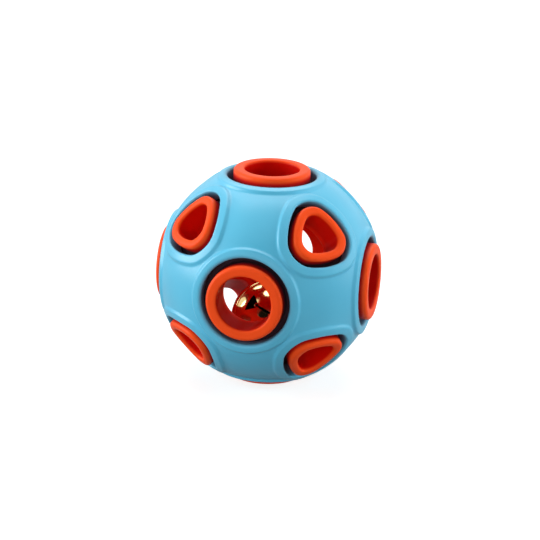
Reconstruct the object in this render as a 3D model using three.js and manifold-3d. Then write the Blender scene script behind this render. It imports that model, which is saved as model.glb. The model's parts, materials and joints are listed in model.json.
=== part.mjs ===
// Rattle ball for dogs: a blue rubber shell with collared holes over an orange rubber ball whose spouts
// stand in those holes, and a jingle bell that rolls loose in the ball's cavity.
// Millimetres, +Z up, origin at the ball's centre. The ball stands on the rim of its lowest spout.
import * as THREE from 'three';
import { mergeVertices } from 'three/addons/utils/BufferGeometryUtils.js';
import Module from 'manifold-3d';

const wasm = await Module();
wasm.setup();

// Shell and ball walls
const SHELL_RADIUS = 37.5; // outside of the blue shell, between its collars
const SHELL_WALL = 5.0;
const SHELL_CLEARANCE = 0.3; // between the shell and the ball inside it
const BALL_WALL = 5.2;
const COLLAR_HEIGHT = 0.75; // raised band round each hole
const COLLAR_WIDTH = 2.9;

// Spouts: round ones on the axes, three-cornered ones between them
const RIM_ROUNDING = 1.4; // outer edge of a rim
const RIM_CHAMFER = 0.8; // inner edge of a rim
const ROUND_RIM_DEPTH = 1.65; // how far a round spout's flat rim lies inside the collars' radius
const ROUND_SPOUT_RADIUS = 13.0;
const ROUND_SPOUT_WALL = 3.7;
const ROUND_SPOUT_GAP = 2.0; // between a round spout and its hole
const CORNERED_RIM_DEPTH = 0.75;
const CORNERED_SPOUT_FLAT = 8.8; // from the spout's middle to the middle of a side
const CORNERED_SPOUT_WALL = 2.9;
const CORNERED_BORE_BOW = 17.3; // radius that the bore's sides are bowed to
const CORNERED_BORE_CORNER = 3.6; // rounding of the bore's corners
const CORNERED_CORNER_SPREAD = 0.35; // how much that rounding grows for each millimetre out from the bore
const CORNERED_SPOUT_GAP = 1.85; // between a three-cornered spout and its hole

// Jingle bell: two pressed cups, a wire loop and a pellet
const BELL_RADIUS = 12.4;
const BELL_SHEET = 0.5;
const BELL_BEAD = 0.2; // how far the bead at the seam stands out
const BELL_BEAD_HEIGHT = 0.9;
const BELL_NECK = 1.2; // how far the slit cup's neck reaches into the top cup
const BELL_FIT = 0.3; // between the bell's own pieces
const BELL_CLEARANCE = 0.3; // between the bell and the edge of the mouth that it lies in
const BELL_TOP = new THREE.Vector3(-0.63, 0.76, -0.16); // the way the loop points
const BELL_ARM = new THREE.Vector3(-0.67, -0.44, 0.60); // the way one arm of the crossed slits points
const SLIT_ARMS = 4;
const SLIT_WIDTH = 0.8;
const FAN_WIDTH = 6.2; // each arm of the slits ends in a three-cornered window
const FAN_DEPTH = 2.15;
const FAN_MARGIN = 0.9; // from the window's wide side to the bell's outside
const LOOP_WIRE = 1.2;
const LOOP_SPAN = 5.0; // between the middles of the loop's legs
const LOOP_HEIGHT = 4.4; // top of the loop over the bell
const LOOP_FOOT = 1.5; // how far each leg is bent aside under the cup
const PELLET_RADIUS = 3.0;

// Fineness of the facets
const SPHERE_SIDES = 28;
const SPHERE_ROWS = 13; // odd, so that no row of corners lies on the seam between the halves
const CAVITY_SIDES = 20;
const CAVITY_ROWS = 9;
const ARC_STEPS = 3; // in each of the six arcs of a spout's outline
const ROUNDING_STEPS = 2;
const BELL_SIDES = 20;
const BELL_ARC_STEPS = 4;
const WIRE_SIDES = 6;
const WIRE_STEPS = 24;
const PELLET_SIDES = 12;
const PELLET_ROWS = 7;
const CUT_OVERLAP = 0.5; // how far a cut runs past the face that it opens

// Sizes worked out from those above
const ballRadius = SHELL_RADIUS - SHELL_WALL - SHELL_CLEARANCE;
const cavityRadius = ballRadius - BALL_WALL;
const collarRadius = SHELL_RADIUS + COLLAR_HEIGHT;
const roundBore = ROUND_SPOUT_RADIUS - ROUND_SPOUT_WALL;
const spoutRoot = cavityRadius / 2;
const bellReach = BELL_RADIUS + BELL_BEAD;
const bellInside = BELL_RADIUS - BELL_SHEET;
const neckOutside = bellInside - BELL_FIT;
const neckInside = neckOutside - BELL_SHEET;

// A bore's outline (where its sides lie, their bow, its corners and their growth), then its spout and its rim
const ROUND = {
  flat: roundBore,
  bow: roundBore,
  corner: roundBore,
  spread: 1,
  wall: ROUND_SPOUT_WALL,
  gap: ROUND_SPOUT_GAP,
  rim: collarRadius - ROUND_RIM_DEPTH,
};
const CORNERED = {
  flat: CORNERED_SPOUT_FLAT - CORNERED_SPOUT_WALL,
  bow: CORNERED_BORE_BOW,
  corner: CORNERED_BORE_CORNER,
  spread: CORNERED_CORNER_SPREAD,
  wall: CORNERED_SPOUT_WALL,
  gap: CORNERED_SPOUT_GAP,
  rim: collarRadius - CORNERED_RIM_DEPTH,
};

// Closed mesh with shared corners, ready for joining and cutting
function solid(geometry) {
  const bare = geometry.clone();
  bare.deleteAttribute('normal');
  bare.deleteAttribute('uv');
  const merged = mergeVertices(bare);
  const mesh = new wasm.Mesh({
    numProp: 3,
    vertProperties: new Float32Array(merged.attributes.position.array),
    triVerts: new Uint32Array(merged.index.array),
  });
  return new wasm.Manifold(mesh);
}

function geometryOf(body) {
  const mesh = body.getMesh();
  const geometry = new THREE.BufferGeometry();
  geometry.setAttribute('position', new THREE.BufferAttribute(mesh.vertProperties, mesh.numProp));
  geometry.setIndex(new THREE.BufferAttribute(mesh.triVerts, 1));
  return geometry;
}

function joined(bodies) {
  return bodies.reduce((sum, body) => sum.add(body));
}

// Sphere about the ball's centre with its poles on Z
function sphere(radius, sides, rows) {
  return solid(new THREE.SphereGeometry(radius, sides, rows).rotateX(Math.PI / 2));
}

// Sphere to cut away: the middles of its facets, not their corners, lie at the radius
function hollow(radius, sides, rows) {
  const middle = Math.cos(Math.PI / sides) * Math.cos(Math.PI / (2 * rows));
  return sphere(radius / middle, sides, rows);
}

// Turn that brings local +Z to a direction and local +Y as near as can be to another
function facing(direction, towards) {
  const z = direction.clone().normalize();
  const y = towards.clone().projectOnPlane(z).normalize();
  const x = y.clone().cross(z);
  return new THREE.Matrix4().makeBasis(x, y, z);
}

// Points of an arc whose middle lies off the origin in its own direction, with half a step left at each end
function arcPoints(offset, direction, radius, halfSpan) {
  const points = [];
  for (let step = 0; step < ARC_STEPS; step += 1) {
    const angle = direction + halfSpan * ((2 * step + 1) / ARC_STEPS - 1);
    const x = offset * Math.cos(direction) + radius * Math.cos(angle);
    const y = offset * Math.sin(direction) + radius * Math.sin(angle);
    points.push(new THREE.Vector2(x, y));
  }
  return points;
}

// Line at a distance round a bore, drawn in evenly by an inset: three corner arcs and three side arcs, which
// make a circle where the bore is round
function outline(kind, distance, inset = 0) {
  const lean = kind.bow - kind.flat;
  const sideRadius = kind.bow + distance - inset;
  const cornerRadius = kind.corner + kind.spread * distance - inset;
  const reach = Math.sqrt((sideRadius - cornerRadius) ** 2 - 0.75 * lean ** 2) - lean / 2;
  const cornerSpan = lean > 0 ? Math.atan2(Math.sqrt(0.75) * lean, reach + lean / 2) : Math.PI / 6;
  const sideSpan = Math.PI / 3 - cornerSpan;
  const points = [];
  for (let index = 0; index < 3; index += 1) {
    const cornerWay = Math.PI / 2 + (index * 2 * Math.PI) / 3;
    const sideWay = cornerWay + Math.PI / 3;
    points.push(...arcPoints(reach, cornerWay, cornerRadius, cornerSpan));
    points.push(...arcPoints(-lean, sideWay, sideRadius, sideSpan));
  }
  return new THREE.Shape(points);
}

function prism(shape, low, high) {
  const geometry = new THREE.ExtrudeGeometry(shape, { depth: high - low, bevelEnabled: false });
  return geometry.translate(0, 0, low);
}

// Solid spout up to its rim, with the rim's outer edge rounded
function spoutPlug(kind) {
  const geometry = new THREE.ExtrudeGeometry(outline(kind, kind.wall, RIM_ROUNDING), {
    depth: kind.rim - RIM_ROUNDING - spoutRoot,
    bevelThickness: RIM_ROUNDING,
    bevelSize: RIM_ROUNDING,
    bevelSegments: ROUNDING_STEPS,
  });
  return geometry.translate(0, 0, spoutRoot);
}

// Cone that chamfers the inner edge of a rim
function rimChamfer(kind) {
  const geometry = new THREE.ExtrudeGeometry(outline(kind, 0, CUT_OVERLAP), {
    depth: CUT_OVERLAP,
    bevelThickness: RIM_CHAMFER + CUT_OVERLAP,
    bevelSize: RIM_CHAMFER + CUT_OVERLAP,
    bevelSegments: 1,
  });
  return geometry.translate(0, 0, kind.rim);
}

function spoutBore(kind) {
  return prism(outline(kind, 0), spoutRoot, kind.rim + CUT_OVERLAP);
}

function shellHole(kind) {
  return prism(outline(kind, kind.wall + kind.gap), spoutRoot, collarRadius + CUT_OVERLAP);
}

function collarBlock(kind) {
  const shape = outline(kind, kind.wall + kind.gap + COLLAR_WIDTH);
  return prism(shape, spoutRoot, collarRadius + CUT_OVERLAP);
}

// Where the spouts are: a round one each way along the axes, a three-cornered one in every octant
const axes = [new THREE.Vector3(1, 0, 0), new THREE.Vector3(0, 1, 0), new THREE.Vector3(0, 0, 1)];
const OFF_SEAM = new THREE.Vector3(1, 1, 1); // keeps the round spouts' facet corners off the seam
const spouts = [];
for (const sign of [1, -1]) {
  for (const axis of axes) {
    const direction = axis.clone().multiplyScalar(sign);
    spouts.push({ kind: ROUND, place: facing(direction, OFF_SEAM) });
  }
}
for (const x of [1, -1]) {
  for (const y of [1, -1]) {
    for (const z of [1, -1]) {
      const towards = new THREE.Vector3(0, 0, z);
      spouts.push({ kind: CORNERED, place: facing(new THREE.Vector3(x, y, z), towards) });
    }
  }
}

function atSpouts(make) {
  return spouts.map((spout) => solid(make(spout.kind).applyMatrix4(spout.place)));
}

// Blue shell: a hollow ball with a raised collar round each hole
function shellBody() {
  const collars = sphere(collarRadius, SPHERE_SIDES, SPHERE_ROWS).intersect(joined(atSpouts(collarBlock)));
  const outside = sphere(SHELL_RADIUS, SPHERE_SIDES, SPHERE_ROWS).add(collars);
  const inside = hollow(ballRadius + SHELL_CLEARANCE, SPHERE_SIDES, SPHERE_ROWS);
  return outside.subtract(inside).subtract(joined(atSpouts(shellHole)));
}

// Orange ball: a hollow ball with its spouts moulded on
function ballBody() {
  const outside = sphere(ballRadius, SPHERE_SIDES, SPHERE_ROWS).add(joined(atSpouts(spoutPlug)));
  const bores = joined([...atSpouts(spoutBore), ...atSpouts(rimChamfer)]);
  return outside.subtract(hollow(cavityRadius, CAVITY_SIDES, CAVITY_ROWS)).subtract(bores);
}

// Half of a ball above or below the level seam through its centre
function half(body, side) {
  const size = 4 * collarRadius;
  const block = new THREE.BoxGeometry(size, size, size).translate(0, 0, (side * size) / 2);
  return body.intersect(solid(block));
}

// Arc about the bell's centre, from one height to another, as points of a turned profile
function bellArc(radius, from, to) {
  const points = [];
  const start = Math.asin(from / radius);
  const end = Math.asin(to / radius);
  for (let step = 0; step <= BELL_ARC_STEPS; step += 1) {
    const angle = start + ((end - start) * step) / BELL_ARC_STEPS;
    points.push(new THREE.Vector2(radius * Math.cos(angle), radius * Math.sin(angle)));
  }
  return points;
}

function onAxis(points) {
  points[0].x = 0;
  points[points.length - 1].x = 0;
  return new THREE.LatheGeometry(points, BELL_SIDES).rotateX(Math.PI / 2);
}

// Top cup, with the bead at its edge and two holes for the loop's legs
function bellTopCup() {
  const profile = [
    ...bellArc(bellInside, bellInside, 0),
    new THREE.Vector2(bellReach, 0),
    new THREE.Vector2(bellReach, BELL_BEAD_HEIGHT),
    ...bellArc(BELL_RADIUS, BELL_BEAD_HEIGHT, BELL_RADIUS),
  ];
  const holeRadius = LOOP_WIRE / 2 + BELL_FIT;
  const holes = [-1, 1].map((side) => {
    const hole = new THREE.CylinderGeometry(holeRadius, holeRadius, BELL_RADIUS, WIRE_SIDES);
    return solid(hole.rotateX(Math.PI / 2).translate((side * LOOP_SPAN) / 2, 0, BELL_RADIUS));
  });
  return solid(onAxis(profile)).subtract(joined(holes));
}

// Slit cup, with a neck that fits in the top cup and crossed slits through its pole
function bellSlitCup() {
  const shoulder = -(BELL_FIT + BELL_SHEET);
  const profile = [
    ...bellArc(BELL_RADIUS, -BELL_RADIUS, -BELL_FIT),
    new THREE.Vector2(neckOutside, -BELL_FIT),
    new THREE.Vector2(neckOutside, BELL_NECK),
    new THREE.Vector2(neckInside, BELL_NECK),
    new THREE.Vector2(neckInside, shoulder),
    ...bellArc(bellInside, shoulder, -bellInside),
  ];
  const fanWide = BELL_RADIUS - FAN_MARGIN;
  const fanNarrow = fanWide - FAN_DEPTH;
  const arm = new THREE.Shape([
    new THREE.Vector2(-SLIT_WIDTH / 2, -SLIT_WIDTH / 2),
    new THREE.Vector2(SLIT_WIDTH / 2, -SLIT_WIDTH / 2),
    new THREE.Vector2(SLIT_WIDTH / 2, fanNarrow),
    new THREE.Vector2(FAN_WIDTH / 2, fanWide),
    new THREE.Vector2(-FAN_WIDTH / 2, fanWide),
    new THREE.Vector2(-SLIT_WIDTH / 2, fanNarrow),
  ]);
  const cuts = [];
  for (let index = 0; index < SLIT_ARMS; index += 1) {
    const cut = prism(arm, -BELL_RADIUS - CUT_OVERLAP, shoulder - BELL_SHEET);
    cuts.push(solid(cut.rotateZ((index * 2 * Math.PI) / SLIT_ARMS)));
  }
  return solid(onAxis(profile)).subtract(joined(cuts));
}

function backwards(curve) {
  if (curve.isLineCurve3) {
    return new THREE.LineCurve3(curve.v2, curve.v1);
  }
  return new THREE.QuadraticBezierCurve3(curve.v2, curve.v1, curve.v0);
}

// Wire loop: its legs go down through the top cup and are bent aside inside it
function bellLoop() {
  const leg = LOOP_SPAN / 2;
  const footEnd = leg + LOOP_FOOT;
  const footReach = bellInside - BELL_FIT - LOOP_WIRE / 2;
  const footHeight = Math.sqrt(footReach ** 2 - footEnd ** 2);
  const bend = Math.min(LOOP_WIRE, LOOP_FOOT);
  const top = BELL_RADIUS + LOOP_HEIGHT - LOOP_WIRE / 2;
  const bow = top - leg;
  const at = (x, z) => new THREE.Vector3(x, 0, z);
  const halfLoop = (side) => {
    const foot = at(side * footEnd, footHeight);
    const footBend = at(side * (leg + bend), footHeight);
    const legStart = at(side * leg, footHeight + bend);
    const legEnd = at(side * leg, bow);
    return [
      new THREE.LineCurve3(foot, footBend),
      new THREE.QuadraticBezierCurve3(footBend, at(side * leg, footHeight), legStart),
      new THREE.LineCurve3(legStart, legEnd),
      new THREE.QuadraticBezierCurve3(legEnd, at(side * leg, top), at(0, top)),
    ];
  };
  const path = new THREE.CurvePath();
  for (const curve of halfLoop(-1)) {
    path.add(curve);
  }
  for (const curve of halfLoop(1).reverse()) {
    path.add(backwards(curve));
  }
  const section = [];
  for (let side = 0; side < WIRE_SIDES; side += 1) {
    const angle = (2 * Math.PI * side) / WIRE_SIDES;
    section.push(new THREE.Vector2(Math.cos(angle), Math.sin(angle)).multiplyScalar(LOOP_WIRE / 2));
  }
  return new THREE.ExtrudeGeometry(new THREE.Shape(section), { steps: WIRE_STEPS, extrudePath: path });
}

function blueRubber() {
  return new THREE.MeshStandardMaterial({ color: '#63bfdd', roughness: 0.55, metalness: 0 });
}

function orangeRubber() {
  return new THREE.MeshStandardMaterial({ color: '#e8481f', roughness: 0.5, metalness: 0 });
}

function gildedBrass() {
  return new THREE.MeshStandardMaterial({ color: '#e3b04b', roughness: 0.15, metalness: 1 });
}

function steel() {
  return new THREE.MeshStandardMaterial({ color: '#b9bbbe', roughness: 0.3, metalness: 1 });
}

function piece(name, geometry, material) {
  const mesh = new THREE.Mesh(geometry, material);
  mesh.name = name;
  return mesh;
}

const part = new THREE.Group();
const shell = shellBody();
const ball = ballBody();
part.add(piece('outer_shell_upper', geometryOf(half(shell, 1)), blueRubber()));
part.add(piece('outer_shell_lower', geometryOf(half(shell, -1)), blueRubber()));
part.add(piece('inner_ball_upper', geometryOf(half(ball, 1)), orangeRubber()));
part.add(piece('inner_ball_lower', geometryOf(half(ball, -1)), orangeRubber()));

// The bell lies in the inner mouth of the lowest spout, which is too narrow to let it out
const mouthHeight = Math.sqrt(cavityRadius ** 2 - roundBore ** 2);
const bellHeight = mouthHeight - Math.sqrt((bellReach + BELL_CLEARANCE) ** 2 - roundBore ** 2);
const bellCentre = new THREE.Vector3(0, 0, -bellHeight);
const bell = new THREE.Group();
bell.position.copy(bellCentre);
bell.quaternion.setFromRotationMatrix(facing(BELL_TOP, BELL_ARM));
bell.add(piece('bell_top_cup', geometryOf(bellTopCup()), gildedBrass()));
bell.add(piece('bell_slit_cup', geometryOf(bellSlitCup()), gildedBrass()));
bell.add(piece('bell_loop', bellLoop(), gildedBrass()));
part.add(bell);

// The pellet lies at the lowest place of the bell's neck
const down = new THREE.Vector3(0, 0, -1).projectOnPlane(BELL_TOP.clone().normalize()).normalize();
const pelletBall = new THREE.SphereGeometry(PELLET_RADIUS, PELLET_SIDES, PELLET_ROWS);
const pellet = piece('bell_pellet', pelletBall, steel());
pellet.position.copy(bellCentre).addScaledVector(down, neckInside - BELL_FIT - PELLET_RADIUS);
part.add(pellet);

export default part;
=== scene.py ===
import json
import math

import bmesh
import bpy
from mathutils import Matrix, Vector


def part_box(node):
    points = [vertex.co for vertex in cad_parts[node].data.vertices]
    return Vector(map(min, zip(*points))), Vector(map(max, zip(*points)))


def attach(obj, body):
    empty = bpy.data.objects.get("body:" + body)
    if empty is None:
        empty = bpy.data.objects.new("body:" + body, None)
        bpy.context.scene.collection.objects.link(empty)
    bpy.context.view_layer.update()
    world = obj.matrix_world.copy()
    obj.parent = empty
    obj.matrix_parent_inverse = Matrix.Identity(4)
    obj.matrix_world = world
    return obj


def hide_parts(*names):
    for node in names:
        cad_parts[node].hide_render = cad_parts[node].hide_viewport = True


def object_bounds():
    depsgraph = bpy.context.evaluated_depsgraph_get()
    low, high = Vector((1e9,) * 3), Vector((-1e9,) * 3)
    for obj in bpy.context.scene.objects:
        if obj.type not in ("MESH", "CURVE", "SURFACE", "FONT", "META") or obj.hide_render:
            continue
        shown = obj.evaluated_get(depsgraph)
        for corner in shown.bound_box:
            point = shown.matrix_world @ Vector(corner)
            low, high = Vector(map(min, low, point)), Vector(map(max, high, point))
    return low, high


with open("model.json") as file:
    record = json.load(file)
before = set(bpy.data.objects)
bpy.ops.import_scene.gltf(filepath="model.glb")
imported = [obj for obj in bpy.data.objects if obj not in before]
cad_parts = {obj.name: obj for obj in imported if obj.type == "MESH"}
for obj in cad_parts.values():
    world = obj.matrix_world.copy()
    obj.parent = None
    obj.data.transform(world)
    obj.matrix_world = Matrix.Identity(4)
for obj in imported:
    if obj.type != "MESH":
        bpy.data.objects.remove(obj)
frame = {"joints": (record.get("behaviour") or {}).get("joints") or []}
cad_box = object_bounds()

# Bell loop: a bent wire whose two legs go through the bell's top and are spread inside it.
# It is gilded brass wire, made on a wire-forming machine and fixed by its spread feet.
MM = 0.001
BELL_RADIUS = 12.4 * MM
LOOP_WIRE = 1.2 * MM
LOOP_SPAN = 5.0 * MM
LOOP_BOW_HEIGHT = BELL_RADIUS + 1.3 * MM  # where the legs turn into the bow, over the bell's middle
LOOP_FOOT_HEIGHT = BELL_RADIUS - 2.15 * MM
LOOP_FOOT = 1.5 * MM
LOOP_BEND = 1.2 * MM
WIRE_SIDES = 16
BOW_STEPS = 24
BEND_STEPS = 8
WIRE_CREASE = math.radians(40)  # edges sharper than this stay crisp
BELL_ARM = Vector((-0.67, -0.44, 0.60))  # the way one arm of the crossed slits points
GILT = "#f9e2ae"
GILT_SHADE = "#e3bb6c"
GILT_PATCH = 5.0 * MM
GILT_ROUGHNESS = (0.05, 0.16)  # where it is clear, and in the duller patches
POLISH_GRAIN = 0.6 * MM  # size of the slight waviness that polishing leaves
POLISH_DEPTH = 0.05 * MM
POLISH_STRENGTH = 0.03
FIRST_COLOUR = 6  # these three are the places of a Mix node's colour sockets
SECOND_COLOUR = 7
MIXED_COLOUR = 2

joints = {joint["name"]: joint for joint in frame["joints"]}
bell_middle = Vector(joints["pellet_roll"]["pos_m"])
bell_up = Vector(joints["pellet_roll"]["axis"]).normalized()
arm_way = (BELL_ARM - BELL_ARM.dot(bell_up) * bell_up).normalized()
bell_turn = Matrix((arm_way.cross(bell_up), arm_way, bell_up)).transposed()
bell_place = Matrix.Translation(bell_middle) @ bell_turn.to_4x4()


def linear(code):
    """Linear colour of an sRGB hex value."""
    shares = [int(code[at:at + 2], 16) / 255 for at in (1, 3, 5)]
    return (*[s / 12.92 if s <= 0.04045 else ((s + 0.055) / 1.055) ** 2.4 for s in shares], 1)


def node(tree, kind, links=(), **settings):
    """Adds a node. links gives each input, by name or number, a value, a socket or a node's first output."""
    made = tree.nodes.new(kind)
    for name, value in settings.items():
        setattr(made, name, value)
    for name, value in dict(links).items():
        if isinstance(value, bpy.types.Node):
            value = value.outputs[0]
        if isinstance(value, bpy.types.NodeSocket):
            tree.links.new(value, made.inputs[name])
        else:
            made.inputs[name].default_value = value
    return made


def new_material(name):
    """Empty node material, with its tree."""
    material = bpy.data.materials.new(name)
    material.use_nodes = True
    material.node_tree.nodes.clear()
    return material, material.node_tree


def gilded_brass():
    """Barrel-polished gilt brass: a clear warm mirror with a slight waviness and faint duller patches."""
    material, tree = new_material("gilded_brass_polished")
    place = node(tree, "ShaderNodeTexCoord").outputs["Object"]
    patches = node(tree, "ShaderNodeTexNoise", {"Vector": place, "Scale": 1 / GILT_PATCH, "Detail": 3.0})
    shades = {FIRST_COLOUR: linear(GILT), SECOND_COLOUR: linear(GILT_SHADE)}
    mixed = node(tree, "ShaderNodeMix", {"Factor": patches, **shades}, data_type="RGBA")
    clear, dull = GILT_ROUGHNESS
    rough = node(tree, "ShaderNodeMapRange", {"Value": patches, "To Min": clear, "To Max": dull})
    wave = node(tree, "ShaderNodeTexNoise", {"Vector": place, "Scale": 1 / POLISH_GRAIN, "Detail": 2.0})
    bump = node(tree, "ShaderNodeBump",
                {"Height": wave, "Strength": POLISH_STRENGTH, "Distance": POLISH_DEPTH})
    skin = node(tree, "ShaderNodeBsdfPrincipled",
                {"Base Color": mixed.outputs[MIXED_COLOUR], "Roughness": rough, "Normal": bump,
                 "Metallic": 1.0})
    node(tree, "ShaderNodeOutputMaterial", {"Surface": skin})
    return material


def object_of(name, data):
    """New object for a mesh, a lamp or a camera, linked into the scene."""
    made = bpy.data.objects.new(name, data)
    bpy.context.scene.collection.objects.link(made)
    return made


def baked(piece):
    """Turns a piece with modifiers into a plain mesh."""
    depsgraph = bpy.context.evaluated_depsgraph_get()
    mesh = bpy.data.meshes.new_from_object(piece.evaluated_get(depsgraph))
    piece.modifiers.clear()
    piece.data = mesh
    return piece


def smooth_but_for(mesh, angle):
    """Smooth shading, with edges sharper than the angle kept crisp."""
    mesh.shade_smooth()
    mesh.set_sharp_from_angle(angle=angle)


def swept(name, points, side_way, radius, sides):
    """Round wire along a flat path, with closed ends. side_way is square to the path's plane."""
    bm = bmesh.new()
    rings = []
    for index, point in enumerate(points):
        along = points[min(index + 1, len(points) - 1)] - points[max(index - 1, 0)]
        out = along.normalized().cross(side_way)
        ring = []
        for side in range(sides):
            angle = 2 * math.pi * side / sides
            ring.append(bm.verts.new(point + radius * (math.cos(angle) * out + math.sin(angle) * side_way)))
        rings.append(ring)
    for near, far in zip(rings, rings[1:]):
        for side in range(sides):
            after = (side + 1) % sides
            bm.faces.new((near[side], near[after], far[after], far[side]))
    for ring in (rings[0], rings[-1]):
        bm.faces.new(ring)
    bmesh.ops.recalc_face_normals(bm, faces=bm.faces)
    mesh = bpy.data.meshes.new(name)
    bm.to_mesh(mesh)
    bm.free()
    return mesh


half_span = LOOP_SPAN / 2
half_path = [Vector((half_span + LOOP_FOOT, 0, LOOP_FOOT_HEIGHT))]
for step in range(BEND_STEPS + 1):
    angle = math.pi / 2 * step / BEND_STEPS
    half_path.append(Vector((half_span + LOOP_BEND * (1 - math.sin(angle)), 0,
                             LOOP_FOOT_HEIGHT + LOOP_BEND * (1 - math.cos(angle)))))
for step in range(BOW_STEPS // 2):
    angle = math.pi * step / BOW_STEPS
    half_path.append(Vector((half_span * math.cos(angle), 0,
                             LOOP_BOW_HEIGHT + half_span * math.sin(angle))))
bow_top = Vector((0, 0, LOOP_BOW_HEIGHT + half_span))
other_half = [Vector((-point.x, 0, point.z)) for point in reversed(half_path)]
whole_path = half_path + [bow_top] + other_half
loop_mesh = swept("bell_loop_wire", whole_path, Vector((0, 1, 0)), LOOP_WIRE / 2, WIRE_SIDES)
loop_mesh.transform(bell_place)
smooth_but_for(loop_mesh, WIRE_CREASE)
gilt = gilded_brass()
loop_mesh.materials.append(gilt)
bell_loop = object_of("bell_loop_wire", loop_mesh)
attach(bell_loop, "bell")
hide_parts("bell_loop")

# Bell top cup: the plain half of the jingle bell, with the loop's two holes at its top.
# It is brass sheet, pressed, polished and gilded, with its edge rolled to a bead over the other cup's neck.
BELL_SHEET = 0.5 * MM
BELL_BEAD = 0.2 * MM
BELL_BEAD_HEIGHT = 0.9 * MM
BELL_FIT = 0.3 * MM
CUP_SIDES = 96
CUP_ROWS = 40
BEAD_START = math.radians(50)  # how steeply the bead turns out of the cup
BEAD_STEPS = 8
HOLE_SIDES = 24
SLIVER = 0.002 * MM  # faces narrower than this, left by cutting the holes, are closed up
CUP_CREASE = math.radians(35)
# Painted shade: the cups' inner faces are a dull dark brown, for the shade inside the closed bell
BRASS_INSIDE_SHADE = "#4a3a22"
BRASS_INSIDE_SHADE_DARK = "#2b2114"
RAW_BRASS_BLOTCH = 3.0 * MM
RAW_BRASS_ROUGHNESS = 0.6
RAW_BRASS_METAL = 0.6  # only partly metal, so the inside reflects less


def shaded_brass_inside():
    """Inside of the pressed cups: dull blotched brass, painted dark brown as the shade inside the closed
    bell.
    """
    material, tree = new_material("brass_inside_painted_shade")
    place = node(tree, "ShaderNodeTexCoord").outputs["Object"]
    blotches = node(tree, "ShaderNodeTexNoise",
                    {"Vector": place, "Scale": 1 / RAW_BRASS_BLOTCH, "Detail": 4.0})
    shades = {FIRST_COLOUR: linear(BRASS_INSIDE_SHADE), SECOND_COLOUR: linear(BRASS_INSIDE_SHADE_DARK)}
    mixed = node(tree, "ShaderNodeMix", {"Factor": blotches, **shades}, data_type="RGBA")
    skin = node(tree, "ShaderNodeBsdfPrincipled",
                {"Base Color": mixed.outputs[MIXED_COLOUR], "Roughness": RAW_BRASS_ROUGHNESS,
                 "Metallic": RAW_BRASS_METAL})
    node(tree, "ShaderNodeOutputMaterial", {"Surface": skin})
    return material


def arc_about(middle, radius, start, end, steps):
    """Points of a turned profile, as radius and height, along an arc."""
    points = []
    for step in range(steps + 1):
        angle = start + (end - start) * step / steps
        points.append((middle[0] + radius * math.cos(angle), middle[1] + radius * math.sin(angle)))
    return points


def turned(name, profile, sides):
    """Closed body turned about Z from a profile that starts and ends on the axis."""
    bm = bmesh.new()
    first = bm.verts.new((0, 0, profile[0][1]))
    last = bm.verts.new((0, 0, profile[-1][1]))
    rings = []
    for radius, height in profile[1:-1]:
        ring = []
        for side in range(sides):
            angle = 2 * math.pi * side / sides
            ring.append(bm.verts.new((radius * math.cos(angle), radius * math.sin(angle), height)))
        rings.append(ring)
    for side in range(sides):
        after = (side + 1) % sides
        bm.faces.new((first, rings[0][side], rings[0][after]))
        bm.faces.new((last, rings[-1][after], rings[-1][side]))
        for near, far in zip(rings, rings[1:]):
            bm.faces.new((near[side], far[side], far[after], near[after]))
    bmesh.ops.recalc_face_normals(bm, faces=bm.faces)
    mesh = bpy.data.meshes.new(name)
    bm.to_mesh(mesh)
    bm.free()
    return mesh


bead_middle = (BELL_RADIUS - BELL_BEAD_HEIGHT / 2 + BELL_BEAD, BELL_BEAD_HEIGHT / 2)
bead_top = math.asin(BELL_BEAD_HEIGHT / BELL_RADIUS)
inside_radius = BELL_RADIUS - BELL_SHEET
top_profile = arc_about((0, 0), BELL_RADIUS, math.pi / 2, bead_top, CUP_ROWS)
top_profile += arc_about(bead_middle, BELL_BEAD_HEIGHT / 2, BEAD_START, -math.pi / 2, BEAD_STEPS)
top_profile += arc_about((0, 0), inside_radius, 0, math.pi / 2, CUP_ROWS)
top_cup = object_of("bell_top_cup_pressed", turned("bell_top_cup_pressed", top_profile, CUP_SIDES))

cutter_mesh = bpy.data.meshes.new("loop_holes")
bm = bmesh.new()
for side in (-1, 1):
    place = Matrix.Translation((side * half_span, 0, BELL_RADIUS))
    hole_radius = LOOP_WIRE / 2 + BELL_FIT
    bmesh.ops.create_cone(bm, cap_ends=True, segments=HOLE_SIDES, radius1=hole_radius, radius2=hole_radius,
                          depth=BELL_RADIUS, matrix=place)
bm.to_mesh(cutter_mesh)
bm.free()
cutter = object_of("loop_holes", cutter_mesh)
cut = top_cup.modifiers.new("loop_holes", "BOOLEAN")
cut.object = cutter
cut.solver = "EXACT"
baked(top_cup)
bpy.data.objects.remove(cutter)
bm = bmesh.new()
bm.from_mesh(top_cup.data)
bmesh.ops.remove_doubles(bm, verts=bm.verts, dist=SLIVER)
bmesh.ops.dissolve_degenerate(bm, edges=bm.edges, dist=SLIVER)
bm.to_mesh(top_cup.data)
bm.free()
top_cup.data.transform(bell_place)
smooth_but_for(top_cup.data, CUP_CREASE)
inside_shade = shaded_brass_inside()
top_cup.data.materials.clear()
for finish in (gilt, inside_shade):
    top_cup.data.materials.append(finish)
# The inner faces take the second finish, the painted shade of the bell's inside
inside_limit = inside_radius + BELL_SHEET / 8  # a little outside the inner face
for face in top_cup.data.polygons:
    face.material_index = int((face.center - bell_middle).length < inside_limit)
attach(top_cup, "bell")
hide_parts("bell_top_cup")

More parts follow.
